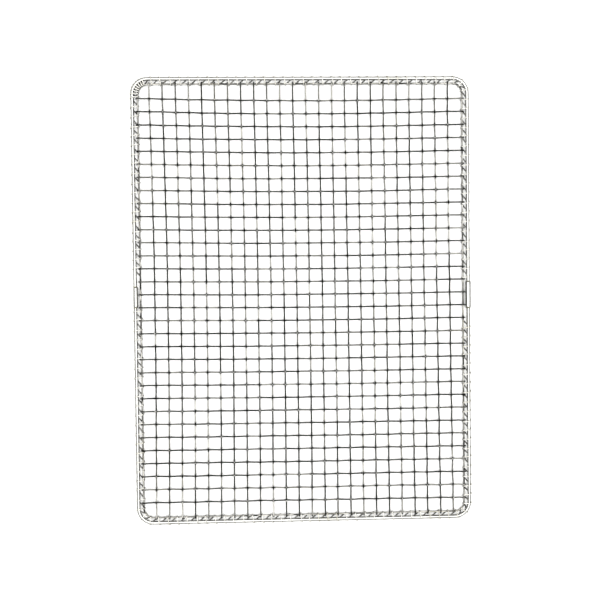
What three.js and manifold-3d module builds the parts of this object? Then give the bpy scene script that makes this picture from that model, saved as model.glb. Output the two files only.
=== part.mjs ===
// Cooling rack: a woven wire mesh whose ends hook over an edge hoop, laced to a round rim rod.
// The rod's butt joints, at the middle of each long side, are closed by two swaged ferrules.
// Millimetres, +Z up, +Y along the length. The origin is on the resting surface, under the centre.

import * as THREE from "three";
import { mergeVertices } from "three/addons/utils/BufferGeometryUtils.js";
import Module from "manifold-3d";

const wasm = await Module();
wasm.setup();

// Rim
const FRAME_WIDTH = 333; // over the rim rod, side to side
const FRAME_LENGTH = 440; // over the rim rod, end to end
const CORNER_RADIUS = 14.5; // of the rim rod's centre line
const ROD_DIAMETER = 3.4;
const HOOP_DIAMETER = 1.6;
const HOOP_INSET = 5.2; // from the rod's centre line to the hoop's

// Ferrules, swaged over the rod's joints. Their flat undersides carry the rack.
const FERRULE_INWARDS = 2.8; // from the rod's centre line to a ferrule's inner side
const FERRULE_HEIGHT = 6.2;
const FERRULE_ROUNDING = 1.4;
const RIGHT_FERRULE = { middle: 4, length: 26, outwards: 2.6 };
const LEFT_FERRULE = { middle: 5, length: 20, outwards: 1.9 }; // nearly flush with the rod outside

// Mesh
const MESH_PITCH = 12.7; // half an inch
const LONG_WIRES = 24;
const CROSS_WIRES = 32;
const MESH_WIRE_DIAMETER = 1.4;

// How far the hand-laced mesh has drifted from a true grid, at its outermost wires
const DRIFT_ACROSS = 0.3; // the middle of the mesh sits to the right
const LEAN = 1.1; // the long wires lean to the left at the rear
const BOW = 0.8; // the long wires bow to the right at their middles
const TAPER = 0.6; // the mesh is narrower at the rear
const PINCH = 1.3; // the mesh is narrower at its middle
const DRIFT_ALONG = -0.35; // the middle of the mesh sits forward
const SAG = 1.05; // the rear cross wires sag forward between their ends
const TILT = 0.45; // the cross wires sit further forward at their right ends
const SLIP = 0.7; // the outermost cross wires have slipped forward
const SPREAD = 0.8; // and spread towards the front and the rear

// Lacing
const LACE_DIAMETER = 1;
const LACE_PITCH = 9.3;
const TIE_PITCH = 3; // of the close turns that tie the lacing off in the left rear corner
const LACE_MARGIN = 3; // from a ferrule to the lacing's end
const LACE_BEFORE_WIRE = 1.9; // a turn keeps this far from the next mesh wire
const LACE_AFTER_WIRE = 1.3; // and this far from the last one

// Fits and facets
const TOUCH_GAP = 0.15; // between wires that bear on each other
const WEAVE_GAP = 0.3; // between wires that cross
const CORNER_STEPS = 5;
const ROD_SIDES = 8;
const HOOP_SIDES = 6;
const WIRE_SIDES = 4;

// Derived dimensions
const ROD_HALF_WIDTH = (FRAME_WIDTH - ROD_DIAMETER) / 2;
const ROD_HALF_LENGTH = (FRAME_LENGTH - ROD_DIAMETER) / 2;
const HOOP_HALF_WIDTH = ROD_HALF_WIDTH - HOOP_INSET;
const HOOP_HALF_LENGTH = ROD_HALF_LENGTH - HOOP_INSET;
const HALF_SPAN_X = ((LONG_WIRES - 1) * MESH_PITCH) / 2;
const HALF_SPAN_Y = ((CROSS_WIRES - 1) * MESH_PITCH) / 2;
const MID_HEIGHT = FERRULE_HEIGHT / 2; // of the rod, the hoop and the mesh
const WIRE_HALF = halfThickness(MESH_WIRE_DIAMETER, WIRE_SIDES);
const LACE_HALF = halfThickness(LACE_DIAMETER, WIRE_SIDES);
const CRIMP = WIRE_HALF + WEAVE_GAP / 2; // how far each wire rises and dips as it crosses the others

const UP = new THREE.Vector3(0, 0, 1);

const nickelPlate = { color: 0x9a9a97, roughness: 0.35, metalness: 1 };
const brightPlate = { color: 0xd6d5d0, roughness: 0.25, metalness: 1 };

const rack = new THREE.Group();

// Radius of the regular polygon that has the area of a circle.
function polygonRadius(diameter, sides) {
  const angle = (2 * Math.PI) / sides;
  return (diameter / 2) * Math.sqrt(angle / Math.sin(angle));
}

function halfThickness(diameter, sides) {
  return polygonRadius(diameter, sides) * Math.cos(Math.PI / sides);
}

// A wire's section, with one flat turned inwards, as [sideways, outwards] points.
function wireSection(diameter, sides) {
  const radius = polygonRadius(diameter, sides);
  return Array.from({ length: sides }, (_, i) => {
    const angle = ((i + 0.5) * 2 * Math.PI) / sides - Math.PI / 2;
    return [radius * Math.cos(angle), radius * Math.sin(angle)];
  });
}

// The section at one point of a bent wire, mitred between the stretches before and after it.
function mitredRing(section, point, before, after, outwards) {
  const tangent = before.clone().add(after).normalize();
  const out = outwards.clone().projectOnPlane(tangent).normalize();
  const side = out.clone().cross(tangent);
  const bend = after.clone().sub(before);
  const stretch = 1 / before.dot(tangent) - 1;
  if (bend.lengthSq() > 0) bend.normalize();
  return section.map(([sideways, away]) => {
    const offset = side.clone().multiplyScalar(sideways).addScaledVector(out, away);
    offset.addScaledVector(bend, offset.dot(bend) * stretch);
    return offset.add(point);
  });
}

// A wire through the points, as one closed solid. Each point is { at, out }.
function bentWire(points, section, closed = false) {
  const last = points.length - 1;
  const heading = (from, to) => points[to].at.clone().sub(points[from].at).normalize();
  const rings = points.map(({ at, out }, k) => {
    const previous = k > 0 ? k - 1 : last;
    const next = k < last ? k + 1 : 0;
    const after = k < last || closed ? heading(k, next) : heading(previous, k);
    const before = k > 0 || closed ? heading(previous, k) : after;
    return mitredRing(section, at, before, after, out);
  });
  const sides = section.length;
  const corners = rings.flat().flatMap((corner) => corner.toArray());
  const faces = [];
  for (let k = 0; k < (closed ? rings.length : last); k++) {
    const near = k * sides;
    const far = ((k + 1) % rings.length) * sides;
    for (let i = 0; i < sides; i++) {
      const j = (i + 1) % sides;
      faces.push(near + i, near + j, far + j, near + i, far + j, far + i);
    }
  }
  if (!closed) {
    for (let i = 1; i < sides - 1; i++) {
      faces.push(0, i + 1, i, last * sides, last * sides + i, last * sides + i + 1);
    }
  }
  const geometry = new THREE.BufferGeometry();
  geometry.setAttribute("position", new THREE.Float32BufferAttribute(corners, 3));
  geometry.setIndex(faces);
  geometry.computeVertexNormals();
  return geometry;
}

function addPiece(name, geometry, finish) {
  const piece = new THREE.Mesh(geometry, new THREE.MeshStandardMaterial(finish));
  piece.name = name;
  rack.add(piece);
}

function solidFrom(geometry) {
  const bare = geometry.clone();
  bare.deleteAttribute("normal");
  bare.deleteAttribute("uv");
  const merged = mergeVertices(bare);
  const vertProperties = new Float32Array(merged.attributes.position.array);
  const triVerts = new Uint32Array(merged.index.array);
  return new wasm.Manifold(new wasm.Mesh({ numProp: 3, vertProperties, triVerts }));
}

function geometryFrom(solid) {
  const { vertProperties, triVerts } = solid.getMesh();
  const geometry = new THREE.BufferGeometry();
  geometry.setAttribute("position", new THREE.Float32BufferAttribute(vertProperties, 3));
  geometry.setIndex(new THREE.Uint32BufferAttribute(triVerts, 1));
  geometry.computeVertexNormals();
  return geometry;
}

// The middle of a corner's arc. Corners count anticlockwise from the right rear one.
function cornerMiddle(corner, acrossHalf, alongHalf) {
  return [corner === 0 || corner === 3 ? acrossHalf : -acrossHalf, corner < 2 ? alongHalf : -alongHalf];
}

// A ring with round corners, lying flat at the mesh's height
function roundedLoop(halfWidth, halfLength, radius) {
  const points = [];
  for (let corner = 0; corner < 4; corner++) {
    const [middleX, middleY] = cornerMiddle(corner, halfWidth - radius, halfLength - radius);
    for (let step = 0; step <= CORNER_STEPS; step++) {
      const angle = ((corner + step / CORNER_STEPS) * Math.PI) / 2;
      const x = middleX + radius * Math.cos(angle);
      const y = middleY + radius * Math.sin(angle);
      points.push({ at: new THREE.Vector3(x, y, MID_HEIGHT), out: UP });
    }
  }
  return points;
}

// A ferrule's rounded block, before it is joined to the rod. The side is 1 on the right, -1 on the left.
function ferruleBlock(side, { middle, length, outwards }) {
  const [low, high] = side > 0 ? [-FERRULE_INWARDS, outwards] : [-outwards, FERRULE_INWARDS];
  const left = low + FERRULE_ROUNDING;
  const right = high - FERRULE_ROUNDING;
  const top = FERRULE_HEIGHT / 2 - FERRULE_ROUNDING;
  const outline = new THREE.Shape();
  outline.absarc(right, top, FERRULE_ROUNDING, 0, Math.PI / 2);
  outline.absarc(left, top, FERRULE_ROUNDING, Math.PI / 2, Math.PI);
  outline.absarc(left, -top, FERRULE_ROUNDING, Math.PI, 1.5 * Math.PI);
  outline.absarc(right, -top, FERRULE_ROUNDING, 1.5 * Math.PI, 2 * Math.PI);
  const block = new THREE.ExtrudeGeometry(outline, {
    depth: length,
    curveSegments: 3,
    bevelEnabled: false,
  });
  block.rotateX(Math.PI / 2);
  block.translate(side * ROD_HALF_WIDTH, middle + length / 2, MID_HEIGHT);
  return solidFrom(block);
}

function addRim() {
  const rodPath = roundedLoop(ROD_HALF_WIDTH, ROD_HALF_LENGTH, CORNER_RADIUS);
  const hoopPath = roundedLoop(HOOP_HALF_WIDTH, HOOP_HALF_LENGTH, CORNER_RADIUS - HOOP_INSET);
  const rod = bentWire(rodPath, wireSection(ROD_DIAMETER, ROD_SIDES), true);
  const joinedRod = solidFrom(rod)
    .add(ferruleBlock(1, RIGHT_FERRULE))
    .add(ferruleBlock(-1, LEFT_FERRULE));
  addPiece("rim_rod_with_ferrules", geometryFrom(joinedRod), brightPlate);
  const hoop = bentWire(hoopPath, wireSection(HOOP_DIAMETER, HOOP_SIDES), true);
  addPiece("edge_hoop", hoop, nickelPlate);
}

// Where a point of the true grid lies in the drifted mesh
function drifted(x, y) {
  const u = x / HALF_SPAN_X;
  const v = y / HALF_SPAN_Y;
  const across = DRIFT_ACROSS - LEAN * v - BOW * v * v - TAPER * u * v + PINCH * u * v * v;
  const along = DRIFT_ALONG + SAG * u * u * (1 + v) - TILT * u - SLIP * v * v + SPREAD * v ** 3;
  return [x + across, y + along];
}

const gridX = (i) => i * MESH_PITCH - HALF_SPAN_X;
const gridY = (j) => j * MESH_PITCH - HALF_SPAN_Y;

// The hook at a wire's end, as [inwards from the hoop, height] from its tip to the mesh
function hookProfile() {
  const reach = HOOP_DIAMETER / 2 + WIRE_HALF + TOUCH_GAP;
  return [
    [-reach, -HOOP_DIAMETER / 2],
    [-reach, reach],
    [reach, reach],
  ];
}

// A mesh wire along the direction "along", with its crossings, hooked over the hoop at both ends
function meshWire(ends, crossings, along) {
  const hook = (end, inwardSign) =>
    hookProfile().map(([inwards, height]) =>
      end.clone().addScaledVector(along, inwardSign * inwards).addScaledVector(UP, height),
    );
  const route = [...hook(ends[0], 1), ...crossings, ...hook(ends[1], -1).reverse()];
  const points = route.map((at) => ({ at, out: UP }));
  return bentWire(points, wireSection(MESH_WIRE_DIAMETER, WIRE_SIDES));
}

// Where long wire i and cross wire j cross. The long wire is on top where i + j is even.
function crossing(i, j, height) {
  const [x, y] = drifted(gridX(i), gridY(j));
  return new THREE.Vector3(x, y, MID_HEIGHT + ((i + j) % 2 ? -height : height));
}

function longWire(i) {
  const crossings = Array.from({ length: CROSS_WIRES }, (_, j) => crossing(i, j, CRIMP));
  const ends = [-HOOP_HALF_LENGTH, HOOP_HALF_LENGTH].map(
    (y) => new THREE.Vector3(drifted(gridX(i), y)[0], y, MID_HEIGHT),
  );
  return meshWire(ends, crossings, new THREE.Vector3(0, 1, 0));
}

function crossWire(j) {
  const crossings = Array.from({ length: LONG_WIRES }, (_, i) => crossing(i, j, -CRIMP));
  const ends = [-HOOP_HALF_WIDTH, HOOP_HALF_WIDTH].map(
    (x) => new THREE.Vector3(x, drifted(x, gridY(j))[1], MID_HEIGHT),
  );
  return meshWire(ends, crossings, new THREE.Vector3(1, 0, 0));
}

const numbered = (index) => String(index + 1).padStart(2, "0");

function addMesh() {
  for (let i = 0; i < LONG_WIRES; i++) addPiece("long_wire_" + numbered(i), longWire(i), nickelPlate);
  for (let j = 0; j < CROSS_WIRES; j++) addPiece("cross_wire_" + numbered(j), crossWire(j), nickelPlate);
}

// Lengths along the rod's centre line, which runs anticlockwise from the middle of the right side
const SIDE_HALF = ROD_HALF_LENGTH - CORNER_RADIUS;
const END_HALF = ROD_HALF_WIDTH - CORNER_RADIUS;
const CORNER_ARC = (Math.PI / 2) * CORNER_RADIUS;
const HALF_ROUND = 2 * SIDE_HALF + 2 * END_HALF + 2 * CORNER_ARC;
const REAR_LEFT_CORNER = SIDE_HALF + CORNER_ARC + 2 * END_HALF;

function rodCentreLine() {
  const line = new THREE.Path().moveTo(ROD_HALF_WIDTH, 0).lineTo(ROD_HALF_WIDTH, SIDE_HALF);
  for (let corner = 0; corner < 4; corner++) {
    const [x, y] = cornerMiddle(corner, END_HALF, SIDE_HALF);
    line.absarc(x, y, CORNER_RADIUS, (corner * Math.PI) / 2, ((corner + 1) * Math.PI) / 2);
  }
  line.closePath();
  return line;
}

const centreLine = rodCentreLine();

// The point of the rod's centre line at a station, with the direction that faces out of the rack
function rimStation(station) {
  const share = (station / (2 * HALF_ROUND)) % 1;
  const { x, y } = centreLine.getPoint(share);
  const tangent = centreLine.getTangent(share);
  return {
    at: new THREE.Vector3(x, y, MID_HEIGHT),
    outward: new THREE.Vector3(tangent.y, -tangent.x, 0),
  };
}

// Stations at which a mesh wire meets the rim
function wireStations() {
  const rear = Array.from({ length: LONG_WIRES }, (_, i) => {
    const [x] = drifted(gridX(i), HOOP_HALF_LENGTH);
    return SIDE_HALF + CORNER_ARC + END_HALF - x;
  });
  const front = Array.from({ length: LONG_WIRES }, (_, i) => {
    const [x] = drifted(gridX(i), -HOOP_HALF_LENGTH);
    return HALF_ROUND + SIDE_HALF + CORNER_ARC + END_HALF + x;
  });
  const left = Array.from({ length: CROSS_WIRES }, (_, j) => {
    const [, y] = drifted(-HOOP_HALF_WIDTH, gridY(j));
    return HALF_ROUND - y;
  });
  const right = Array.from({ length: CROSS_WIRES }, (_, j) => {
    const [, y] = drifted(HOOP_HALF_WIDTH, gridY(j));
    return y < 0 ? 2 * HALF_ROUND + y : y;
  });
  return [...rear, ...front, ...left, ...right];
}

// Moves a lacing turn sideways into the nearest clear part of a mesh opening.
function clearOfWires(station, stations) {
  for (const wire of stations) {
    const ahead = wire - station;
    if (ahead >= LACE_BEFORE_WIRE || ahead <= -LACE_AFTER_WIRE) continue;
    const back = wire - LACE_BEFORE_WIRE;
    const forward = wire + LACE_AFTER_WIRE;
    return station - back < forward - station ? back : forward;
  }
  return station;
}

const inTie = (station) => station > REAR_LEFT_CORNER && station < REAR_LEFT_CORNER + CORNER_ARC;

// The stations of a lacing run's turns, between two ferrules
function turnStations(from, to) {
  const stations = wireStations();
  const turns = [];
  let station = from;
  while (station < to) {
    turns.push(clearOfWires(station, stations));
    station += inTie(station) ? TIE_PITCH : LACE_PITCH;
  }
  return turns;
}

// One turn round the hoop and the rod: [outwards from the rod, height, share of the pitch]
function turnProfile() {
  const overRod = ROD_DIAMETER / 2 + LACE_HALF + 2 * TOUCH_GAP;
  const flank = overRod * Math.tan(Math.PI / 8);
  const inside = HOOP_DIAMETER / 2 + LACE_HALF + TOUCH_GAP;
  const overHoop = LACE_DIAMETER + TOUCH_GAP;
  return [
    [-HOOP_INSET - inside, -overHoop, 0],
    [-HOOP_INSET - inside, overHoop, 0.03],
    [flank, overRod, 0.1],
    [overRod, flank, 0.17],
    [overRod, -flank, 0.26],
    [flank, -overRod, 0.33],
  ];
}

// A lacing run, wound through the mesh openings and round the rod
function lacing(from, to) {
  const turns = turnStations(from, to);
  const profile = turnProfile();
  const points = [];
  for (let k = 0; k < turns.length - 1; k++) {
    for (const [outwards, height, share] of profile) {
      const { at, outward } = rimStation(turns[k] + share * (turns[k + 1] - turns[k]));
      at.addScaledVector(outward, outwards).addScaledVector(UP, height);
      const aroundHoop = outwards < -HOOP_INSET;
      const out = outward.clone().multiplyScalar(outwards).addScaledVector(UP, height);
      if (aroundHoop) out.addScaledVector(outward, HOOP_INSET);
      points.push({ at, out: out.normalize() });
    }
  }
  return bentWire(points, wireSection(LACE_DIAMETER, WIRE_SIDES));
}

function addLacing() {
  const ferruleEnd = ({ middle, length }, side) => side * middle + length / 2 + LACE_MARGIN;
  const rearFrom = ferruleEnd(RIGHT_FERRULE, 1);
  const rearTo = HALF_ROUND - ferruleEnd(LEFT_FERRULE, 1);
  const frontFrom = HALF_ROUND + ferruleEnd(LEFT_FERRULE, -1);
  const frontTo = 2 * HALF_ROUND - ferruleEnd(RIGHT_FERRULE, -1);
  addPiece("rear_lacing", lacing(rearFrom, rearTo), nickelPlate);
  addPiece("front_lacing", lacing(frontFrom, frontTo), nickelPlate);
}

addRim();
addMesh();
addLacing();

export default rack;
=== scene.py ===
"""Cooling rack: a woven wire mesh hooked over an edge hoop, laced to a nickel-plated rim rod."""

import logging
import math
import random
from dataclasses import dataclass, field
from enum import Enum

import bpy
from mathutils import Matrix, Vector


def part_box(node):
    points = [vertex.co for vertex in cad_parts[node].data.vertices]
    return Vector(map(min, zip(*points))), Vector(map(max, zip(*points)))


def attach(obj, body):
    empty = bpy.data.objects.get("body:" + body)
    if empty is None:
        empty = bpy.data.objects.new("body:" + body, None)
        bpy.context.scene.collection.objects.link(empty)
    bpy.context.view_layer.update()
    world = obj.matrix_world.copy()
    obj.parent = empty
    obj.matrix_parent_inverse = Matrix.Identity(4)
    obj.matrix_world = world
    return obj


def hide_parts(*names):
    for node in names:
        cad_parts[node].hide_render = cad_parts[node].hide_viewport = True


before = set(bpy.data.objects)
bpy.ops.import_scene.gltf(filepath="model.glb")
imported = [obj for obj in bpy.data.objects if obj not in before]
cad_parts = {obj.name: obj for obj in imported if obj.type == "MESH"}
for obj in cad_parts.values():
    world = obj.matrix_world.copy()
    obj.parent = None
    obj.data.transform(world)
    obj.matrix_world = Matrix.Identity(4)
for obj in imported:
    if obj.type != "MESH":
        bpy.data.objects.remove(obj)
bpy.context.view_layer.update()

LOG = logging.getLogger("cooling_rack")
MM = 0.001
RIGHT_FERRULE_OUTWARDS = 2.6 * MM
UP = Vector((0.0, 0.0, 1.0))
SOCKET_OR_NAME = str | int


def linear(hex_colour: str) -> tuple[float, float, float, float]:
    """Turns an sRGB hex colour to linear values.

    Args:
        hex_colour: The colour, as "#rrggbb".

    Returns:
        Linear red, green and blue, with an alpha of 1.
    """
    channels = [int(hex_colour[i : i + 2], 16) / 255 for i in (1, 3, 5)]
    toned = [c / 12.92 if c <= 0.04045 else ((c + 0.055) / 1.055) ** 2.4 for c in channels]
    return (toned[0], toned[1], toned[2], 1.0)


def add_node(
    tree: bpy.types.NodeTree,
    kind: str,
    settings: dict[SOCKET_OR_NAME, object] | None = None,
    links: dict[SOCKET_OR_NAME, bpy.types.NodeSocket] | None = None,
) -> bpy.types.Node:
    """Adds a node with its settings and links.

    Args:
        tree: The node tree that gets the node.
        kind: The node's type name.
        settings: Values by name. A name in lower case is the node's own property. Any other is a socket.
        links: Output sockets by the name or number of the input that each feeds.

    Returns:
        The new node.
    """
    node = tree.nodes.new(kind)
    for name, value in (settings or {}).items():
        if isinstance(name, str) and name[0].islower():
            setattr(node, name, value)
        else:
            node.inputs[name].default_value = value
    for name, socket in (links or {}).items():
        tree.links.new(socket, node.inputs[name])
    return node


def smooth_between(values: list[float], position: float) -> float:
    """Runs a smooth curve through evenly spaced values.

    Args:
        values: The values at 0, 1, 2 and so on.
        position: Where to read the curve.

    Returns:
        The curve's value there.
    """
    k = min(max(int(position), 0), len(values) - 2)
    t = position - k
    before, start, end, after = (values[min(max(k + n, 0), len(values) - 1)] for n in (-1, 0, 1, 2))
    rise, fall = (end - before) / 2, (after - start) / 2
    return (
        (2 * t**3 - 3 * t**2 + 1) * start
        + (t**3 - 2 * t**2 + t) * rise
        + (3 * t**2 - 2 * t**3) * end
        + (t**3 - t**2) * fall
    )


def new_piece(
    name: str,
    corners: list[Vector],
    faces: list[tuple[int, ...]],
    straightened: list[tuple[float, float, float]],
    wear_and_painted_light: list[float],
) -> bpy.types.Object:
    """Makes a smooth-shaded piece from its corners and faces.

    Args:
        name: The piece's name.
        corners: The corners, in metres.
        faces: The corner numbers of each face.
        straightened: Where each corner would lie if the wire were pulled straight along X.
        wear_and_painted_light: How much wear each corner has, up to 1 where it faces up and up to 2 all
            round. It also carries painted glints and painted shade.

    Returns:
        The new object, linked to the scene.
    """
    mesh = bpy.data.meshes.new(name)
    mesh.from_pydata([tuple(c) for c in corners], [], faces)
    mesh.polygons.foreach_set("use_smooth", [True] * len(mesh.polygons))
    pulled = mesh.attributes.new("straightened", "FLOAT_VECTOR", "POINT")
    pulled.data.foreach_set("vector", [value for corner in straightened for value in corner])
    # Wear, together with painted glints and painted shade, for the material to read.
    wear = mesh.attributes.new("wear_and_painted_light", "FLOAT", "POINT")
    wear.data.foreach_set("value", wear_and_painted_light)
    mesh.update()
    piece = bpy.data.objects.new(name, mesh)
    bpy.context.scene.collection.objects.link(piece)
    return piece


@dataclass(frozen=True)
class RoundWire:
    """Round wire of one gauge.

    Attributes:
        diameter: Its diameter, in metres.
        sides: The corners round its section.
    """

    diameter: float
    sides: int

    def along(
        self, name: str, path: list[Vector], wear_and_painted_light: list[float], closed: bool = False
    ) -> bpy.types.Object:
        """Sweeps the wire along a path.

        Args:
            name: The piece's name.
            path: The points of the wire's centre line.
            wear_and_painted_light: How much wear each point has, from 0 to 2, with painted glints and
                painted shade in it.
            closed: True if the last point joins the first.

        Returns:
            The wire, with flat ends unless it is closed.
        """
        count = len(path)
        headings = [self._heading(path, k, closed) for k in range(count)]
        out = headings[0].orthogonal() if abs(headings[0].z) > 0.9 else UP.copy()
        corners: list[Vector] = []
        straightened: list[tuple[float, float, float]] = []
        travelled = 0.0
        for k, (point, heading) in enumerate(zip(path, headings)):
            travelled += (point - path[k - 1]).length if k else 0.0
            out = (out - heading * out.dot(heading)).normalized()
            side = out.cross(heading)
            for i in range(self.sides):
                angle = 2 * math.pi * i / self.sides
                across = self.diameter / 2 * math.cos(angle)
                away = self.diameter / 2 * math.sin(angle)
                corners.append(point + side * across + out * away)
                straightened.append((travelled, across, away))
        round_wear_and_light = [wear for wear in wear_and_painted_light for _ in range(self.sides)]
        return new_piece(name, corners, self._faces(count, closed), straightened, round_wear_and_light)

    @staticmethod
    def _heading(path: list[Vector], k: int, closed: bool) -> Vector:
        """Gives the direction of the path at point k."""
        last = len(path) - 1
        before = path[k - 1] if k or closed else path[k]
        after = path[(k + 1) % len(path)] if k < last or closed else path[k]
        return (after - before).normalized()

    def _faces(self, count: int, closed: bool) -> list[tuple[int, ...]]:
        """Gives the faces of a wire with this many rings."""
        n = self.sides
        faces: list[tuple[int, ...]] = []
        for k in range(count if closed else count - 1):
            near, far = k * n, (k + 1) % count * n
            faces += [(near + i, near + (i + 1) % n, far + (i + 1) % n, far + i) for i in range(n)]
        if not closed:
            faces.append(tuple(reversed(range(n))))
            faces.append(tuple(range((count - 1) * n, count * n)))
        return faces


class Run(Enum):
    """Which way a mesh wire runs. The value is the number of the axis."""

    CROSS = 0
    LONG = 1


@dataclass(frozen=True)
class PlatedWire:
    """Nickel plate over drawn steel wire.

    The colour runs from the tarnish to the bare nickel. Where the wire faces up the nickel shows as a
    painted highlight, a white glint, and the flanks keep the darker tarnish as painted shade.

    Attributes:
        name: The material's name.
        plate_and_highlight: The bare nickel's colour, also the painted highlight where the wire faces up.
        film_and_shade: The tarnished nickel's colour, also the painted shade on the flanks.
        tint: The colour of the heat tint left by soldering and oven use.
        tint_amount: How strong the tint is at its strongest.
        highlight_from_slope: The upward slope, as a cosine, where the painted highlight starts.
        highlight_full_slope: The upward slope, as a cosine, where the painted highlight is full.
        patch_size: The width of the patches of thicker and thinner film, in metres.
        patchiness: How far the patches shift the film, from 0 to 1.
        roughness: The smoothest and the roughest spots.
    """

    name: str
    plate_and_highlight: str
    film_and_shade: str
    tint: str
    tint_amount: float
    highlight_from_slope: float
    highlight_full_slope: float
    patch_size: float
    patchiness: float
    roughness: tuple[float, float]

    # A drawing die leaves lines about 0.05 mm apart. They are drawn at 0.3 mm, so that they show.
    LINE_SPACING = 0.3 * MM
    LINE_LENGTH = 18 * MM
    TINT_SIZE = 55 * MM
    # Water spots and pinholes in the plate, a little over a millimetre apart.
    SPOT_SIZE = 1.3 * MM

    def build(self) -> bpy.types.Material:
        """Builds the material.

        Returns:
            The plated wire's material.
        """
        material = bpy.data.materials.new(self.name)
        material.use_nodes = True
        tree = material.node_tree
        tree.nodes.clear()
        # The share of bare nickel: a painted highlight where the wire faces up, together with wear.
        highlight_and_wear = self._highlight_and_wear_share(tree)
        lines = self._draw_lines(tree)
        colour = add_node(
            tree,
            "ShaderNodeMix",
            {"data_type": "RGBA", 6: linear(self.film_and_shade), 7: linear(self.plate_and_highlight)},
            {0: highlight_and_wear.outputs[0]},
        )
        tinted = add_node(
            tree,
            "ShaderNodeMix",
            {"data_type": "RGBA", "blend_type": "MULTIPLY", 7: linear(self.tint)},
            {0: self._tint_share(tree).outputs[0], 6: colour.outputs[2]},
        )
        smoothest, roughest = self.roughness
        rough = add_node(
            tree,
            "ShaderNodeMapRange",
            {"From Min": 0.3, "From Max": 0.7, "To Min": smoothest, "To Max": roughest},
            {"Value": lines.outputs[0]},
        )
        # Lines about 4 microns deep, which break the glint up along the wire.
        bump = add_node(
            tree,
            "ShaderNodeBump",
            {"Strength": 0.35, "Distance": 0.004 * MM},
            {"Height": lines.outputs[0]},
        )
        shader = add_node(
            tree,
            "ShaderNodeBsdfPrincipled",
            {"Metallic": 1.0},
            {
                "Base Color": tinted.outputs[2],
                "Roughness": rough.outputs[0],
                "Normal": bump.outputs[0],
            },
        )
        add_node(tree, "ShaderNodeOutputMaterial", links={"Surface": shader.outputs[0]})
        return material

    def _draw_lines(self, tree: bpy.types.NodeTree) -> bpy.types.Node:
        """Adds the lines that the drawing die left along the wire."""
        pulled = add_node(tree, "ShaderNodeAttribute", {"attribute_name": "straightened"})
        scale = (1 / self.LINE_LENGTH, 1 / self.LINE_SPACING, 1 / self.LINE_SPACING)
        stretched = add_node(
            tree, "ShaderNodeMapping", {"Scale": scale}, {"Vector": pulled.outputs["Vector"]}
        )
        return add_node(
            tree,
            "ShaderNodeTexNoise",
            {"Scale": 1.0, "Detail": 3.0},
            {"Vector": stretched.outputs[0]},
        )

    def _noise(self, tree: bpy.types.NodeTree, size: float, detail: float) -> bpy.types.Node:
        """Adds mottling of a real size over the whole piece."""
        place = add_node(tree, "ShaderNodeTexCoord")
        return add_node(
            tree,
            "ShaderNodeTexNoise",
            {"Scale": 1 / size, "Detail": detail},
            {"Vector": place.outputs["Object"]},
        )

    def _highlight_and_wear_share(self, tree: bpy.types.NodeTree) -> bpy.types.Node:
        """Adds the share of bare nickel: a painted highlight where the wire faces up, as strong as the
        wear, with polish all round past 1 and mottle. At 0 the tarnish colour stays, as tarnish and painted
        shade.
        """
        # Painted highlight: the nickel shows where the wire faces up, and the flanks keep the tarnish
        # colour as painted shade.
        facing = add_node(tree, "ShaderNodeNewGeometry")
        upwards = add_node(tree, "ShaderNodeSeparateXYZ", links={"Vector": facing.outputs["Normal"]})
        facing_up_highlight = add_node(
            tree,
            "ShaderNodeMapRange",
            {"interpolation_type": "SMOOTHSTEP", "From Min": self.highlight_from_slope, "From Max": self.highlight_full_slope},
            {"Value": upwards.outputs["Z"]},
        )
        # The wear attribute, which also carries painted glints and painted shade.
        wear = add_node(tree, "ShaderNodeAttribute", {"attribute_name": "wear_and_painted_light"})
        # Wear past 1 polishes the wire all round, and not only where it faces up.
        polished = add_node(
            tree,
            "ShaderNodeMath",
            {"operation": "SUBTRACT", "use_clamp": True, 1: 1.0},
            {0: wear.outputs["Fac"]},
        )
        highlight_with_wear = add_node(
            tree,
            "ShaderNodeMath",
            {"operation": "MULTIPLY_ADD"},
            {0: facing_up_highlight.outputs[0], 1: wear.outputs["Fac"], 2: polished.outputs[0]},
        )
        patches = self._noise(tree, self.patch_size, 2.0)
        spots = self._noise(tree, self.SPOT_SIZE, 1.0)
        mottled = add_node(
            tree,
            "ShaderNodeMix",
            {"data_type": "FLOAT", 0: 0.5},
            {2: patches.outputs[0], 3: spots.outputs[0]},
        )
        # The noise stays mostly between 0.35 and 0.65, and is spread over the whole patchiness.
        shifted = add_node(
            tree,
            "ShaderNodeMapRange",
            {"From Min": 0.35, "From Max": 0.65, "To Min": -self.patchiness, "To Max": self.patchiness},
            {"Value": mottled.outputs[0]},
        )
        return add_node(
            tree,
            "ShaderNodeMath",
            {"operation": "ADD", "use_clamp": True},
            {0: highlight_with_wear.outputs[0], 1: shifted.outputs[0]},
        )

    def _tint_share(self, tree: bpy.types.NodeTree) -> bpy.types.Node:
        """Adds how strong the heat tint is from place to place."""
        clouds = self._noise(tree, self.TINT_SIZE, 2.0)
        return add_node(
            tree,
            "ShaderNodeMapRange",
            {
                "interpolation_type": "SMOOTHSTEP",
                "From Min": 0.48,
                "From Max": 0.68,
                "To Max": self.tint_amount,
            },
            {"Value": clouds.outputs[0]},
        )


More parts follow.
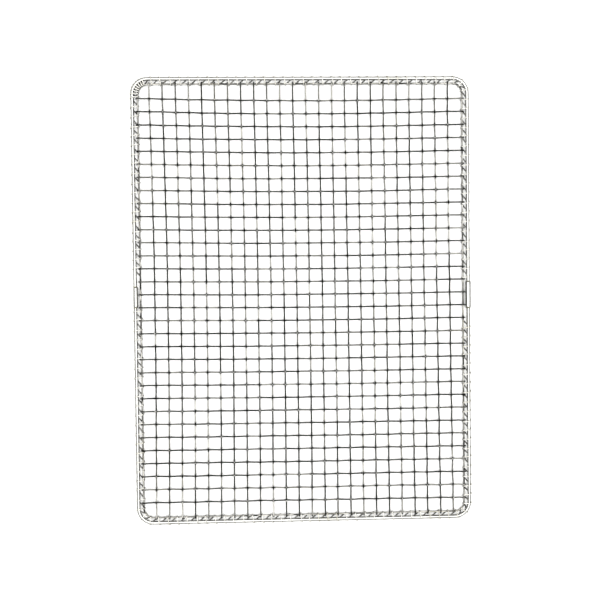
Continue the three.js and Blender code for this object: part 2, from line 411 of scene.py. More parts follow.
@dataclass(frozen=True)
class BrazedBrass:
    """Brazing brass, flowed into a joint and left as it froze.

    It gives the joints a dull olive-yellow edge with fine pits.

    Attributes:
        name: The material's name.
        metal: The colour of the brass.
        flux: The colour of the burnt flux left on it.
        roughness: Its roughness.
    """

    name: str
    metal: str
    flux: str
    roughness: float

    # Flux burns off in spots of about 0.8 mm.
    FLUX_SIZE = 0.8 * MM

    def build(self) -> bpy.types.Material:
        """Builds the material.

        Returns:
            The braze metal's material.
        """
        material = bpy.data.materials.new(self.name)
        material.use_nodes = True
        tree = material.node_tree
        tree.nodes.clear()
        place = add_node(tree, "ShaderNodeTexCoord")
        spots = add_node(
            tree,
            "ShaderNodeTexNoise",
            {"Scale": 1 / self.FLUX_SIZE, "Detail": 3.0},
            {"Vector": place.outputs["Object"]},
        )
        share = add_node(
            tree,
            "ShaderNodeMapRange",
            {"From Min": 0.4, "From Max": 0.65},
            {"Value": spots.outputs[0]},
        )
        colour = add_node(
            tree,
            "ShaderNodeMix",
            {"data_type": "RGBA", 6: linear(self.metal), 7: linear(self.flux)},
            {0: share.outputs[0]},
        )
        bump = add_node(
            tree,
            "ShaderNodeBump",
            {"Strength": 0.6, "Distance": 0.05 * MM},
            {"Height": spots.outputs[0]},
        )
        shader = add_node(
            tree,
            "ShaderNodeBsdfPrincipled",
            {"Metallic": 1.0, "Roughness": self.roughness},
            {"Base Color": colour.outputs[2], "Normal": bump.outputs[0]},
        )
        add_node(tree, "ShaderNodeOutputMaterial", links={"Surface": shader.outputs[0]})
        return material


@dataclass(frozen=True)
class SeamlessPaper:
    """Matt paper background roll.

    Its pulp gives a nearly even white with a faint mottle.

    Attributes:
        name: The material's name.
        light: The colour of its lightest spots.
        dark: The colour of its darkest spots.
    """

    name: str
    light: str
    dark: str

    # Pulp clumps into a mottle of about 4 mm.
    MOTTLE_SIZE = 4 * MM

    def build(self) -> bpy.types.Material:
        """Builds the material.

        Returns:
            The paper's material.
        """
        material = bpy.data.materials.new(self.name)
        material.use_nodes = True
        tree = material.node_tree
        tree.nodes.clear()
        place = add_node(tree, "ShaderNodeTexCoord")
        mottle = add_node(
            tree,
            "ShaderNodeTexNoise",
            {"Scale": 1 / self.MOTTLE_SIZE, "Detail": 2.0},
            {"Vector": place.outputs["Object"]},
        )
        colour = add_node(
            tree,
            "ShaderNodeMix",
            {"data_type": "RGBA", 6: linear(self.dark), 7: linear(self.light)},
            {0: mottle.outputs[0]},
        )
        shader = add_node(
            tree,
            "ShaderNodeBsdfPrincipled",
            {"Roughness": 0.95, "Specular IOR Level": 0.2},
            {"Base Color": colour.outputs[2]},
        )
        add_node(tree, "ShaderNodeOutputMaterial", links={"Surface": shader.outputs[0]})
        return material


def dress(piece: bpy.types.Object, material: bpy.types.Material, slot: str, *nodes: str) -> None:
    """Finishes a piece and puts it in its place in the frame.

    Args:
        piece: The piece.
        material: Its material.
        slot: The record's material slot that it belongs to. It is not used.
        *nodes: The CAD nodes that it stands for.
    """
    piece.data.materials.append(material)
    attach(piece, "root")
    if nodes:
        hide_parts(*nodes)


@dataclass
class RimLine:
    """The centre lines of the rim rod and the edge hoop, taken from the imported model.

    Attributes:
        rod_half_width: From the middle of the rack to the rod, sideways.
        rod_half_length: From the middle of the rack to the rod, lengthways.
        corner_radius: The rod's corner radius.
        height: The height of both centre lines.
        hoop_inset: From the rod's centre line to the hoop's.
    """

    rod_half_width: float
    rod_half_length: float
    corner_radius: float
    height: float
    hoop_inset: float

    @classmethod
    def from_frame(cls) -> "RimLine":
        """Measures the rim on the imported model.

        Returns:
            The rim's centre lines.
        """
        flat_of_rod = 1.655 * MM
        flat_of_hoop = 0.88 * MM
        corner_radius = 14.5 * MM
        low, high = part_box("rim_rod_with_ferrules")
        hoop_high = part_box("edge_hoop")[1]
        rod_half_length = high.y - flat_of_rod
        return cls(
            rod_half_width=high.x - RIGHT_FERRULE_OUTWARDS,
            rod_half_length=rod_half_length,
            corner_radius=corner_radius,
            height=(low.z + high.z) / 2,
            hoop_inset=rod_half_length - (hoop_high.y - flat_of_hoop),
        )

    @property
    def side_half(self) -> float:
        """Half of a side's straight part."""
        return self.rod_half_length - self.corner_radius

    @property
    def end_half(self) -> float:
        """Half of an end's straight part."""
        return self.rod_half_width - self.corner_radius

    @property
    def corner_arc(self) -> float:
        """The length of a corner."""
        return math.pi / 2 * self.corner_radius

    @property
    def half_round(self) -> float:
        """Half of the way round the rod."""
        return 2 * (self.side_half + self.end_half + self.corner_arc)

    def at(self, station: float) -> tuple[Vector, Vector]:
        """Finds a point of the rod's centre line.

        Args:
            station: The way round from the middle of the right side, anticlockwise, in metres.

        Returns:
            The point, and the direction there that faces out of the rack.
        """
        left = station % (2 * self.half_round)
        stretches = [self.side_half, self.end_half, self.side_half, self.end_half]
        if left < self.side_half:
            return Vector((self.rod_half_width, left, self.height)), Vector((1, 0, 0))
        left -= self.side_half
        for corner in range(4):
            across = self.end_half if corner in (0, 3) else -self.end_half
            along = self.side_half if corner < 2 else -self.side_half
            middle = Vector((across, along, self.height))
            if left < self.corner_arc:
                angle = corner * math.pi / 2 + left / self.corner_radius
                out = Vector((math.cos(angle), math.sin(angle), 0))
                return middle + out * self.corner_radius, out
            left -= self.corner_arc
            angle = (corner + 1) * math.pi / 2
            out = Vector((round(math.cos(angle)), round(math.sin(angle)), 0))
            straight = 2 * stretches[(corner + 1) % 4]
            heading = Vector((-out.y, out.x, 0))
            if left < straight:
                return middle + out * self.corner_radius + heading * left, out
            left -= straight
        return Vector((self.rod_half_width, 0, self.height)), Vector((1, 0, 0))

    def loop(self, inset: float, spacing: float) -> list[Vector]:
        """Runs round the rim at a distance inside the rod's centre line.

        Args:
            inset: The distance inside the rod's centre line.
            spacing: The distance between points.

        Returns:
            The points of the loop, anticlockwise.
        """
        count = round(2 * self.half_round / spacing)
        stations = [2 * self.half_round * k / count for k in range(count)]
        return [point - out * inset for point, out in map(self.at, stations)]

    def station_of(self, point: Vector) -> float:
        """Finds the station on the rim nearest a point at the end of a mesh wire.

        Args:
            point: The wire's end.

        Returns:
            The station, in metres.
        """
        quarter = self.side_half + self.corner_arc + self.end_half
        beyond_side = self.rod_half_width - abs(point.x)
        beyond_end = self.rod_half_length - abs(point.y)
        if beyond_end < beyond_side:
            return quarter - point.x if point.y > 0 else self.half_round + quarter + point.x
        if point.x < 0:
            return self.half_round - point.y
        return point.y % (2 * self.half_round)


@dataclass
class WovenMesh:
    """The woven mesh: 24 long wires and 32 cross wires, hooked over the edge hoop.

    Attributes:
        rim: The rim's centre lines.
        finish: The wires' finish.
        wire: The wire.
        hoop_diameter: The hoop that the wires hook over.
        crimp: How far each wire rises and dips at a crossing.
        wave: How far the wires waver sideways.
        stations: Where the points lie between a crossing and the next, as shares of the pitch.
        most_worn: The most wear that a stretch may have, that is how far its tarnish may be gone, which
            also sets how much painted highlight shows on its top. The long wires get more than the cross
            wires.
        hook_turn: How far a hook reaches round the hoop, in radians.
        ends: Where each wire meets the hoop, once the wires are built.
    """

    rim: RimLine
    finish: PlatedWire
    wire: RoundWire = RoundWire(1.4 * MM, 10)
    hoop_diameter: float = 1.6 * MM
    crimp: float = 0.71 * MM
    wave: float = 0.13 * MM
    stations: tuple[float, ...] = (0.0, 0.05, 0.1, 0.2, 0.35, 0.5, 0.65, 0.8, 0.9, 0.95)
    most_worn: dict[Run, float] = field(default_factory=lambda: {Run.LONG: 0.66, Run.CROSS: 0.36})
    hook_turn: float = math.radians(115)
    ends: list[Vector] = field(default_factory=list)

    # Near a crossing, as shares of the pitch: how far the tarnish colour is kept as painted shade, and how
    # far a painted glint reaches.
    SHADE_REACH = 0.12
    GLINT_REACH = 0.03
    # The share of crossings that have a painted glint on top, and the wear value that paints it.
    GLINT_SHARE = 0.3
    GLINT_LEVEL = 0.8
    # From stretch to stretch the wear drifts by a step, or now and then jumps. Most of it is slight.
    JUMP_CHANCE = 0.3
    DRIFT_STEP = 0.18
    SLIGHTNESS = 2.6
    # A hook's points, its play round the hoop, and how much its turn varies, in radians.
    HOOK_STEPS = 8
    HOOK_PLAY = 0.03 * MM
    HOOK_VARIES = 0.1
    # The share of the way to the hoop in which the wire levels out, and again in which it climbs.
    LEVELLING = 0.45

    def build(self) -> None:
        """Builds and dresses every wire of the mesh."""
        material = self.finish.build()
        names = [n for n in sorted(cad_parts) if n.startswith(("long_wire_", "cross_wire_"))]
        for name in names:
            path, wear_and_painted_light = self._path(name)
            piece = self.wire.along("round_" + name, path, wear_and_painted_light)
            dress(piece, material, "mesh_wire", name)
            LOG.info("%s: %d points", piece.name, len(path))

    def _stations(self, name: str) -> list[Vector]:
        """Reads where a CAD wire hooks and crosses.

        Args:
            name: The CAD node.

        Returns:
            The middles of its hook, its crossings and its other hook, in order.
        """
        lengthways = 1 if name.startswith("long") else 0
        corners = sorted((v.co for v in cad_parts[name].data.vertices), key=lambda c: c[lengthways])
        groups: list[list[Vector]] = [[corners[0]]]
        for corner in corners[1:]:
            if corner[lengthways] - groups[-1][-1][lengthways] > 3 * MM:
                groups.append([])
            groups[-1].append(corner)
        return [
            Vector([(min(c[a] for c in group) + max(c[a] for c in group)) / 2 for a in range(3)])
            for group in groups
        ]

    def _path(self, name: str) -> tuple[list[Vector], list[float]]:
        """Works out the centre line of one wire.

        Args:
            name: The CAD node.

        Returns:
            The points from the tip of one hook to the tip of the other, and the wear at each, with painted
            shade and painted glints at the crossings.
        """
        run = Run.LONG if name.startswith("long") else Run.CROSS
        lengthways = run.value
        crossings = self._stations(name)[1:-1]
        first_up = 1 if crossings[0].z > self.rim.height else -1
        chance = random.Random(name)
        phase = [chance.uniform(0, 2 * math.pi) for _ in range(2)]
        turns = [chance.uniform(0.25, 0.4), chance.uniform(0.5, 0.8)]
        sides = [[c[axis] for c in crossings] for axis in range(2)]
        stretches = len(crossings) - 1
        wear = self._wear_and_light_level(stretches, self.most_worn[run], chance)
        glints = [chance.random() < self.GLINT_SHARE for _ in crossings]
        body: list[Vector] = []
        wear_and_painted_light: list[float] = []
        places = [k + share for k in range(stretches) for share in self.stations] + [float(stretches)]
        for t in places:
            point = Vector((smooth_between(sides[0], t), smooth_between(sides[1], t), 0))
            wobble = sum(math.sin(turn * t + start) for turn, start in zip(turns, phase)) / 2
            point[1 - lengthways] += self.wave * wobble
            point.z = self.rim.height + first_up * self.crimp * math.cos(math.pi * t)
            body.append(point)
            # Painted shade: next to each crossing the wear is 0, so the dark tarnish colour stays. Some
            # crossings get a painted glint on top instead.
            nearest = round(t)
            if abs(t - nearest) < self.SHADE_REACH:
                on_top = point.z > self.rim.height
                glint = abs(t - nearest) < self.GLINT_REACH and glints[nearest] and on_top
                wear_and_painted_light.append(self.GLINT_LEVEL if glint else 0.0)
            else:
                wear_and_painted_light.append(wear[min(int(t), stretches - 1)])
        half = self.rim.rod_half_length if run is Run.LONG else self.rim.rod_half_width
        hoop_at = half - self.rim.hoop_inset
        start = self._hook(body[0], lengthways, -hoop_at, chance)
        end = self._hook(body[-1], lengthways, hoop_at, chance)
        return start[::-1] + body + end, [wear[0]] * len(start) + wear_and_painted_light + [wear[-1]] * len(end)

    def _wear_and_light_level(self, stretches: int, most: float, chance: random.Random) -> list[float]:
        """Chooses how worn each stretch of a wire is.

        Args:
            stretches: How many stretches the wire has between its crossings.
            most: The most wear that a stretch may have.
            chance: The wire's own source of small differences.

        Returns:
            The wear of each stretch. Neighbours are alike, with a few sudden changes.
        """
        wear_and_painted_light: list[float] = []
        level = chance.random()
        for _ in range(stretches):
            if chance.random() < self.JUMP_CHANCE:
                level = chance.random()
            level = min(max(level + chance.uniform(-self.DRIFT_STEP, self.DRIFT_STEP), 0.0), 1.0)
            wear_and_painted_light.append(most * level**self.SLIGHTNESS)
        return wear_and_painted_light

    def _hook(
        self, last: Vector, lengthways: int, hoop_at: float, chance: random.Random
    ) -> list[Vector]:
        """Carries a wire from its last crossing over the hoop and round it.

        Args:
            last: The last crossing.
            lengthways: The axis that the wire runs along.
            hoop_at: Where the hoop lies on that axis.
            chance: The wire's own source of small differences.

        Returns:
            The points after the last crossing.
        """
        outwards = 1 if hoop_at > 0 else -1
        reach = (self.hoop_diameter + self.wire.diameter) / 2 + self.HOOK_PLAY
        run = abs(hoop_at - last[lengthways])
        points: list[Vector] = []
        for k in range(1, self.HOOK_STEPS + 1):
            t = k / self.HOOK_STEPS
            dive = max(0.0, 1 - t / self.LEVELLING)
            climb = max(0.0, 1 - (1 - t) / self.LEVELLING)
            point = last.copy()
            point[lengthways] += outwards * run * t
            point.z = self.rim.height + (last.z - self.rim.height) * dive * dive * (3 - 2 * dive)
            point.z += reach * climb * climb * (3 - 2 * climb)
            points.append(point)
        turn = self.hook_turn + chance.uniform(-self.HOOK_VARIES, self.HOOK_VARIES)
        for k in range(1, self.HOOK_STEPS + 1):
            angle = turn * k / self.HOOK_STEPS
            point = last.copy()
            point[lengthways] = hoop_at + outwards * reach * math.sin(angle)
            point.z = self.rim.height + reach * math.cos(angle)
            points.append(point)
        end = last.copy()
        end[lengthways] = hoop_at
        self.ends.append(end)
        return points


@dataclass(frozen=True)
class Ferrule:
    """One swaged ferrule on a side of the rack.

    Attributes:
        name: Its name.
        side: The side of the rack, as its sign along X.
        middle: Its middle along the side.
        length: Its length.
        outwards: How far it reaches outwards from the rod's centre line.
        inwards: How far it reaches inwards.
        half_height: Half of its height.
    """

    name: str
    side: int
    middle: float
    length: float
    outwards: float
    inwards: float = 2.8 * MM
    half_height: float = 3.1 * MM


FERRULES = (
    Ferrule("right_ferrule", 1, 4 * MM, 26 * MM, RIGHT_FERRULE_OUTWARDS),
    Ferrule("left_ferrule", -1, 5 * MM, 20 * MM, 1.9 * MM),
)


@dataclass(frozen=True)
class Ring:
    """A rounded ring across the rod, of a lofted piece.

    Attributes:
        place: Where it lies along the side.
        half_width: Half of its width.
        half_height: Half of its height.
        squareness: The power that squares its corners off. 1 is an ellipse.
        outwards: How far its middle lies outwards from the rod's centre line.
    """

    place: float
    half_width: float
    half_height: float
    squareness: float = 1.0
    outwards: float = 0.0


@dataclass
class Rim:
    """The rim rod with its two ferrules, and the edge hoop.

    Attributes:
        line: The rim's centre lines.
        rod_finish: The rod's and the ferrules' finish.
        hoop_finish: The hoop's finish.
        braze_finish: The finish of the metal that seals the ferrules' ends.
        rod: The rod.
        hoop: The hoop.
        ferrules: The ferrules over the rod's joints.
    """

    line: RimLine
    rod_finish: PlatedWire
    hoop_finish: PlatedWire
    braze_finish: BrazedBrass
    rod: RoundWire = RoundWire(3.4 * MM, 24)
    hoop: RoundWire = RoundWire(1.6 * MM, 12)
    ferrules: tuple[Ferrule, ...] = FERRULES

    ROD_SPACING = 3 * MM
    HOOP_SPACING = 2.5 * MM
    # The longest stretch of even wear on the hoop, in points, and how much of its wear is slight.
    LONGEST_STRETCH = 4
    SLIGHTNESS = 1.3
    # A ferrule's end bevel on top and at the sides, and the length that it runs in over.
    BEVEL = 0.55 * MM
    SIDE_BEVEL = 0.12 * MM
    BEVEL_LENGTH = 1.2 * MM
    # The marks that the press left on its sides, which stay clear of its ends.
    PRESS_MARKS = 3
    PRESS_DEPTH = 0.1 * MM
    PRESS_SHARPNESS = 6
    CLEAR_OF_ENDS = 2 * MM
    # A ring of braze: how far it stands off the rod, its thinnest skin, its height and its length.
    BRAZE_GAP = 0.01 * MM
    BRAZE_SKIN = 0.03 * MM
    BRAZE_HEIGHT = 0.15 * MM
    BRAZE_LENGTH = 0.7 * MM

    def build(self) -> None:
        """Builds and dresses the rod, the hoop, the ferrules and their braze."""
        bright = self.rod_finish.build()
        brass = self.braze_finish.build()
        rod_path = self.line.loop(0, self.ROD_SPACING)
        # Wear 1 all along, so the painted highlight runs the whole length of the rod's top.
        rod = self.rod.along("rim_rod", rod_path, [1.0] * len(rod_path), closed=True)
        dress(rod, bright, "rim_rod", "rim_rod_with_ferrules")
        LOG.info("rim_rod")
        hoop_path = self.line.loop(self.line.hoop_inset, self.HOOP_SPACING)
        hoop = self.hoop.along("round_hoop", hoop_path, self._hoop_wear(len(hoop_path)), closed=True)
        dress(hoop, self.hoop_finish.build(), "mesh_wire", "edge_hoop")
        LOG.info("round_hoop")
        for ferrule in self.ferrules:
            sleeve = self._sleeve(ferrule)
            dress(sleeve, bright, "rim_rod")
            LOG.info("%s", sleeve.name)
            for end in (-1, 1):
                fillet = self._fillet(ferrule, end)
                dress(fillet, brass, "rim_rod")
                LOG.info("%s", fillet.name)

    def _hoop_wear(self, count: int) -> list[float]:
        """Chooses the hoop's wear at each point, in stretches where the lacing has rubbed it.

        Args:
            count: How many points the hoop has.

        Returns:
            The wear at each point.
        """
        chance = random.Random("edge_hoop")
        wear_and_painted_light: list[float] = []
        while len(wear_and_painted_light) < count:
            wear_and_painted_light += [chance.random() ** self.SLIGHTNESS] * chance.randint(1, self.LONGEST_STRETCH)
        return wear_and_painted_light[:count]

    def _turned(self, name: str, side: int, rings: list[Ring]) -> bpy.types.Object:
        """Lofts rounded rings that close on themselves, round the rod.

        Args:
            name: The piece's name.
            side: The side of the rack, as its sign along X.
            rings: The rings.

        Returns:
            The lofted piece.
        """
        sides = 32
        corners: list[Vector] = []
        straightened: list[tuple[float, float, float]] = []
        for ring in rings:
            for i in range(sides):
                angle = 2 * math.pi * i / sides
                c, s = math.cos(angle), math.sin(angle)
                across = ring.half_width * math.copysign(abs(c) ** ring.squareness, c)
                away = ring.half_height * math.copysign(abs(s) ** ring.squareness, s)
                x = side * (self.line.rod_half_width + ring.outwards) + across
                corners.append(Vector((x, ring.place, self.line.height + away)))
                straightened.append((ring.place, across, away))
        faces = []
        for k in range(len(rings)):
            near, far = k * sides, (k + 1) % len(rings) * sides
            for i in range(sides):
                j = (i + 1) % sides
                faces.append((near + i, far + i, far + j, near + j))
        # Wear 1 at every corner, so the painted highlight shows wherever the piece faces up.
        return new_piece(name, corners, faces, straightened, [1.0] * len(corners))

    def _sleeve(self, ferrule: Ferrule) -> bpy.types.Object:
        """Builds a swaged ferrule, with its press marks and its bore.

        Args:
            ferrule: The ferrule.

        Returns:
            The ferrule's piece.
        """
        squareness, steps, play = 0.85, 40, 0.02 * MM
        bore = self.rod.diameter / 2 + play
        half_width = (ferrule.outwards + ferrule.inwards) / 2
        outer: list[Ring] = []
        for k in range(steps + 1):
            t = k / steps
            from_end = min(t, 1 - t) * ferrule.length
            lead_in = self.BEVEL * max(0.0, 1 - from_end / self.BEVEL_LENGTH) ** 2
            swing = math.cos(2 * math.pi * self.PRESS_MARKS * (t - 0.5))
            press = self.PRESS_DEPTH * max(0.0, swing) ** self.PRESS_SHARPNESS
            narrowed = press if from_end > self.CLEAR_OF_ENDS else 0
            outer.append(
                Ring(
                    place=ferrule.middle + (t - 0.5) * ferrule.length,
                    half_width=half_width - min(lead_in, self.SIDE_BEVEL) - narrowed,
                    half_height=ferrule.half_height - lead_in,
                    squareness=squareness,
                    outwards=(ferrule.outwards - ferrule.inwards) / 2,
                )
            )
        inner = [Ring(ring.place, bore, bore) for ring in (outer[-1], outer[0])]
        return self._turned(ferrule.name, ferrule.side, outer + inner)

    def _fillet(self, ferrule: Ferrule, end: int) -> bpy.types.Object:
        """Builds the ring of braze in the corner between a ferrule's end and the rod.

        Args:
            ferrule: The ferrule.
            end: Which of its ends, as its sign along Y.

        Returns:
            The ring.
        """
        foot = self.rod.diameter / 2 + self.BRAZE_GAP
        face = ferrule.middle + end * (ferrule.length / 2 + self.BRAZE_GAP)
        steps = 6
        profile = [(0.0, self.BRAZE_HEIGHT)]
        for k in range(1, steps):
            t = k / steps
            high = self.BRAZE_HEIGHT * (1 - t) ** 2 + self.BRAZE_SKIN * (1 - t)
            profile.append((self.BRAZE_LENGTH * t, high))
        profile += [(self.BRAZE_LENGTH, 0.0), (0.0, 0.0)]
        radii = [(face + end * out, foot + high) for out, high in profile]
        rings = [Ring(place, radius, radius) for place, radius in radii]
        name = ferrule.name.replace("ferrule", "braze_front" if end < 0 else "braze_rear")
        return self._turned(name, ferrule.side, rings if end > 0 else rings[::-1])


@dataclass
class Lacing:
    """The fine wire wound round the hoop and the rod, in a rear and a front run.

    Attributes:
        line: The rim's centre lines.
        finish: The wire's finish.
        wire_stations: Where the mesh wires meet the rim.
        wire: The wire.
        pitch: From one turn to the next.
        tie_pitch: From turn to turn where the run is tied off, in the left rear corner.
        margin: From a ferrule to the end of a run.
        before_wire: How far a turn stays from the next mesh wire.
        after_wire: How far it stays from the last one.
        rod_radius: From the rod's centre line to the lacing's.
        hoop_radius: From the hoop's centre line to the lacing's.
        most_underside_shade_wear: The most wear underneath, where the little wear keeps the dark tarnish
            colour as painted shade.
        wear_past_rod: The wear where a turn stands out past the rod.
        wear_and_highlight_on_top: The wear on top, between the rod and the hoop, which lets the painted
            highlight show there.
    """

    line: RimLine
    finish: PlatedWire
    wire_stations: list[float]
    wire: RoundWire = RoundWire(1.0 * MM, 8)
    pitch: float = 9.3 * MM
    tie_pitch: float = 3 * MM
    margin: float = 3 * MM
    before_wire: float = 1.9 * MM
    after_wire: float = 1.3 * MM
    rod_radius: float = 2.25 * MM
    hoop_radius: float = 1.35 * MM
    most_underside_shade_wear: float = 0.3
    wear_past_rod: float = 1.8
    wear_and_highlight_on_top: float = 1.3

    def build(self) -> None:
        """Builds and dresses both runs."""
        material = self.finish.build()
        whole = self.line.half_round
        right, left = FERRULES
        runs = {
            "rear_lacing": (self._past(right, 1), whole - self._past(left, 1)),
            "front_lacing": (whole + self._past(left, -1), 2 * whole - self._past(right, -1)),
        }
        for node, (start, end) in runs.items():
            turns = self._turns(start, end)
            path, wear_and_painted_light = self._path(turns, random.Random(node))
            piece = self.wire.along("round_" + node, path, wear_and_painted_light)
            dress(piece, material, "lacing_wire", node)
            LOG.info("%s: %d turns", piece.name, len(turns) - 1)

    def _past(self, ferrule: Ferrule, end: int) -> float:
        """Gives how far from the middle of its side a run starts, past one end of a ferrule."""
        return end * ferrule.middle + ferrule.length / 2 + self.margin

    def _turns(self, start: float, end: float) -> list[float]:
        """Spaces the turns of a run between the mesh wires.

        Args:
            start: The station where the run starts.
            end: The station where it ends.

        Returns:
            The station of each turn.
        """
        corner = self.line.side_half + self.line.corner_arc + 2 * self.line.end_half
        turns: list[float] = []
        station = start
        while station < end:
            turns.append(self._clear(station))
            in_tie = corner < station < corner + self.line.corner_arc
            station += self.tie_pitch if in_tie else self.pitch
        return turns

    def _clear(self, station: float) -> float:
        """Moves a turn out of the way of the mesh wire that it would meet.

        Args:
            station: Where the turn would fall.

        Returns:
            The nearest clear station.
        """
        for wire in self.wire_stations:
            ahead = wire - station
            if -self.after_wire < ahead < self.before_wire:
                back, forward = wire - self.before_wire, wire + self.after_wire
                return back if station - back < forward - station else forward
        return station

    def _section(self) -> list[tuple[float, float, float]]:
        """Gives one turn, as outwards, upwards and its share of the way to the next turn."""
        inset = self.line.hoop_inset
        lean = math.asin((self.rod_radius - self.hoop_radius) / inset)
        turn: list[tuple[float, float, float]] = []
        for k in range(7):
            t = k / 6
            angle = math.pi + (math.pi / 2 - lean) * (1 - 2 * t)
            away, high = self.hoop_radius * math.cos(angle), self.hoop_radius * math.sin(angle)
            turn.append((-inset + away, high, -0.02 + 0.05 * t))
        top = len(turn)
        for k in range(11):
            t = k / 10
            angle = (math.pi / 2 + lean) * (1 - 2 * t)
            away, high = self.rod_radius * math.cos(angle), self.rod_radius * math.sin(angle)
            turn.append((away, high, 0.09 + 0.24 * t))
        strand = [self._between(turn[top - 1], turn[top], t) for t in (0.33, 0.67)]
        under = [self._between(turn[-1], (turn[0][0], turn[0][1], 0.98), t) for t in (0.25, 0.5, 0.75)]
        return turn[:top] + strand + turn[top:] + under

    @staticmethod
    def _between(
        first: tuple[float, float, float], second: tuple[float, float, float], t: float
    ) -> tuple[float, float, float]:
        """Gives the point a share t of the way from the first to the second."""
        mixed = [a + (b - a) * t for a, b in zip(first, second)]
        return (mixed[0], mixed[1], mixed[2])

    def _path(
        self, turns: list[float], chance: random.Random
    ) -> tuple[list[Vector], list[float]]:
        """Works out the centre line of a run.

        Args:
            turns: The station of each turn.
            chance: The run's own source of small differences.

        Returns:
            The points of the run, and the wear at each. Hands wear the turns that stand out past the rod.
            The passes underneath keep little wear, as painted shade.
        """
        section = self._section()
        points: list[Vector] = []
        wear_and_painted_light: list[float] = []
        for here, following in zip(turns, turns[1:]):
            slack = chance.uniform(0, 0.08 * MM)
            # Painted shade underneath: the passes under the rim keep little wear, so the dark tarnish
            # colour stays.
            underside_shade_wear = self.most_underside_shade_wear * chance.random() ** 2
            for outwards, upwards, share in section:
                middle, out = self.line.at(here + share * (following - here))
                loosened = 1 + slack / self.rod_radius
                points.append(middle + out * outwards + UP * upwards * loosened)
                wear_and_painted_light.append(self._wear_and_light_level(outwards, upwards, underside_shade_wear))
        return points, wear_and_painted_light

    def _wear_and_light_level(self, outwards: float, upwards: float, underside_shade_wear: float) -> float:
        """Gives the lacing's wear: all round past the rod, and on top inside it, where the painted
        highlight shows. Underneath it is slight, which keeps painted shade there.
        """
        if outwards > -0.5 * MM:
            return self.wear_past_rod
        return self.wear_and_highlight_on_top if upwards > 0 else underside_shade_wear


@dataclass
class Studio:
    """The paper floor, the overhead softbox, the room and the camera.

    Attributes:
        line: The rim's centre lines.
        paper: The floor's finish.
        softbox_size: The softbox's side.
        softbox_height: Its height over the floor.
        softbox_power: Its power, in watts.
        room_level: The brightness of the room's ceiling.
        wall_level: The brightness of its walls, next to the floor.
        wall_top: Where the walls have faded into the ceiling, as the sine of the angle over the floor.
        floor_size: The paper's side.
        floor_drop: How far the paper lies under the rack.
    """

    line: RimLine
    paper: SeamlessPaper
    softbox_size: float = 2.0
    softbox_height: float = 1.5
    softbox_power: float = 60.0
    room_level: float = 0.12
    wall_level: float = 0.95
    wall_top: float = 0.35
    floor_size: float = 2.2
    floor_drop: float = 0.05 * MM

    # The camera stands a metre away, tilted a little to the side and the front.
    DISTANCE = 1.0
    TILT_X = 0.031104
    TILT_Y = 0.045255
    ROLL = 0.0111625
    ASIDE = -2.99 * MM
    UPWARDS = 0.46 * MM
    LENS = 60.64

    def build(self) -> None:
        """Builds the floor, the lights and the camera."""
        self._lay_floor()
        self._light()
        self._place_camera()
        bpy.context.scene.view_settings.view_transform = "Standard"
        LOG.info("studio")

    def _lay_floor(self) -> None:
        """Lays the paper just under the rack."""
        half, drop = self.floor_size / 2, self.floor_drop
        mesh = bpy.data.meshes.new("paper_floor")
        corners = [(-half, -half, -drop), (half, -half, -drop), (half, half, -drop), (-half, half, -drop)]
        mesh.from_pydata(corners, [], [(0, 1, 2, 3)])
        floor = bpy.data.objects.new("paper_floor", mesh)
        bpy.context.scene.collection.objects.link(floor)
        floor.data.materials.append(self.paper.build())

    def _light(self) -> None:
        """Hangs the softbox and sets the room's light."""
        lamp = bpy.data.lights.new("softbox", "AREA")
        lamp.shape = "SQUARE"
        lamp.size = self.softbox_size
        lamp.energy = self.softbox_power
        softbox = bpy.data.objects.new("softbox", lamp)
        softbox.location = (0, 0, self.softbox_height)
        bpy.context.scene.collection.objects.link(softbox)
        world = bpy.data.worlds.new("room")
        world.use_nodes = True
        tree = world.node_tree
        towards = add_node(tree, "ShaderNodeTexCoord")
        split = add_node(tree, "ShaderNodeSeparateXYZ", links={"Vector": towards.outputs["Generated"]})
        # Pale walls near the floor, and a dim ceiling over them.
        level = add_node(
            tree,
            "ShaderNodeMapRange",
            {
                "interpolation_type": "SMOOTHSTEP",
                "From Max": self.wall_top,
                "To Min": self.wall_level,
                "To Max": self.room_level,
            },
            {"Value": split.outputs["Z"]},
        )
        room = tree.nodes["Background"]
        tree.links.new(level.outputs[0], room.inputs["Strength"])
        room.inputs["Color"].default_value = linear("#ffffff")
        bpy.context.scene.world = world

    def _place_camera(self) -> None:
        """Stands the camera over the rack."""
        data = bpy.data.cameras.new("camera")
        data.sensor_width = 36.0
        data.lens = self.LENS
        data.clip_start, data.clip_end = 0.01, 20.0
        camera = bpy.data.objects.new("camera", data)
        seen = (
            Matrix.Rotation(self.ROLL, 3, "Z")
            @ Matrix.Rotation(self.TILT_X, 3, "X")
            @ Matrix.Rotation(self.TILT_Y, 3, "Y")
        )
        turned = seen.transposed()
        centre = Vector((0, 0, self.line.height))
        place = centre + turned @ Vector((self.ASIDE, self.UPWARDS, self.DISTANCE))
        camera.matrix_world = Matrix.Translation(place) @ turned.to_4x4()
        bpy.context.scene.collection.objects.link(camera)
        bpy.context.scene.camera = camera


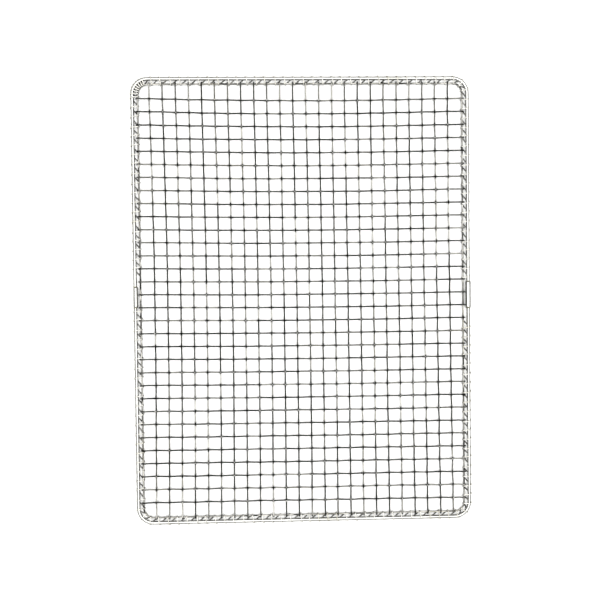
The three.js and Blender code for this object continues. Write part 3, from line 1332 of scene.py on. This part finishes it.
def main() -> None:
    """Builds the rack and its studio, in order."""
    logging.basicConfig(level=logging.INFO, format="%(message)s")
    line = RimLine.from_frame()
    # Rod plated in a bright bath, with a painted highlight: a white streak along the top, between grey
    # flanks of painted shade.
    bright_plate = PlatedWire(
        name="bright_nickel_plate_on_drawn_rod",
        plate_and_highlight="#b0b0ad",
        film_and_shade="#92928e",
        tint="#a39d7a",
        tint_amount=0.25,
        highlight_from_slope=0.6,
        highlight_full_slope=0.97,
        patch_size=22 * MM,
        patchiness=0.12,
        roughness=(0.26, 0.4),
    )
    # Mesh wire plated in a barrel and oven-darkened: near black, with greyer stretches of wear that bring
    # out a painted highlight on top.
    dark_plate = PlatedWire(
        name="oven_darkened_nickel_wire",
        plate_and_highlight="#c9c7c0",
        film_and_shade="#161614",
        tint="#a99b72",
        tint_amount=0.3,
        highlight_from_slope=0.2,
        highlight_full_slope=0.7,
        patch_size=16 * MM,
        patchiness=0.05,
        roughness=(0.28, 0.46),
    )
    # Soft lacing wire: a painted highlight along its top, painted shade on its flanks.
    soft_plate = PlatedWire(
        name="soft_nickel_lacing_wire",
        plate_and_highlight="#d2d0c9",
        film_and_shade="#2a2925",
        tint="#a99b62",
        tint_amount=0.3,
        highlight_from_slope=0.3,
        highlight_full_slope=0.9,
        patch_size=9 * MM,
        patchiness=0.2,
        roughness=(0.22, 0.4),
    )
    # Hoop wire: dull and dark almost all round, with a painted highlight where it faces up, as strong as
    # its wear.
    hoop_plate = PlatedWire(
        name="dulled_nickel_hoop_wire",
        plate_and_highlight="#b9b7b0",
        film_and_shade="#1c1b19",
        tint="#a99b62",
        tint_amount=0.3,
        highlight_from_slope=0.6,
        highlight_full_slope=0.95,
        patch_size=12 * MM,
        patchiness=0.12,
        roughness=(0.3, 0.48),
    )
    brass = BrazedBrass(name="brazing_brass", metal="#8d8660", flux="#59543f", roughness=0.42)
    paper = SeamlessPaper(name="seamless_white_paper", light="#f7f7f5", dark="#f1f1ef")
    mesh = WovenMesh(line, dark_plate)
    mesh.build()
    Rim(line, bright_plate, hoop_plate, brass).build()
    Lacing(line, soft_plate, [line.station_of(end) for end in mesh.ends]).build()
    Studio(line, paper).build()


if __name__ == "__main__":
    main()
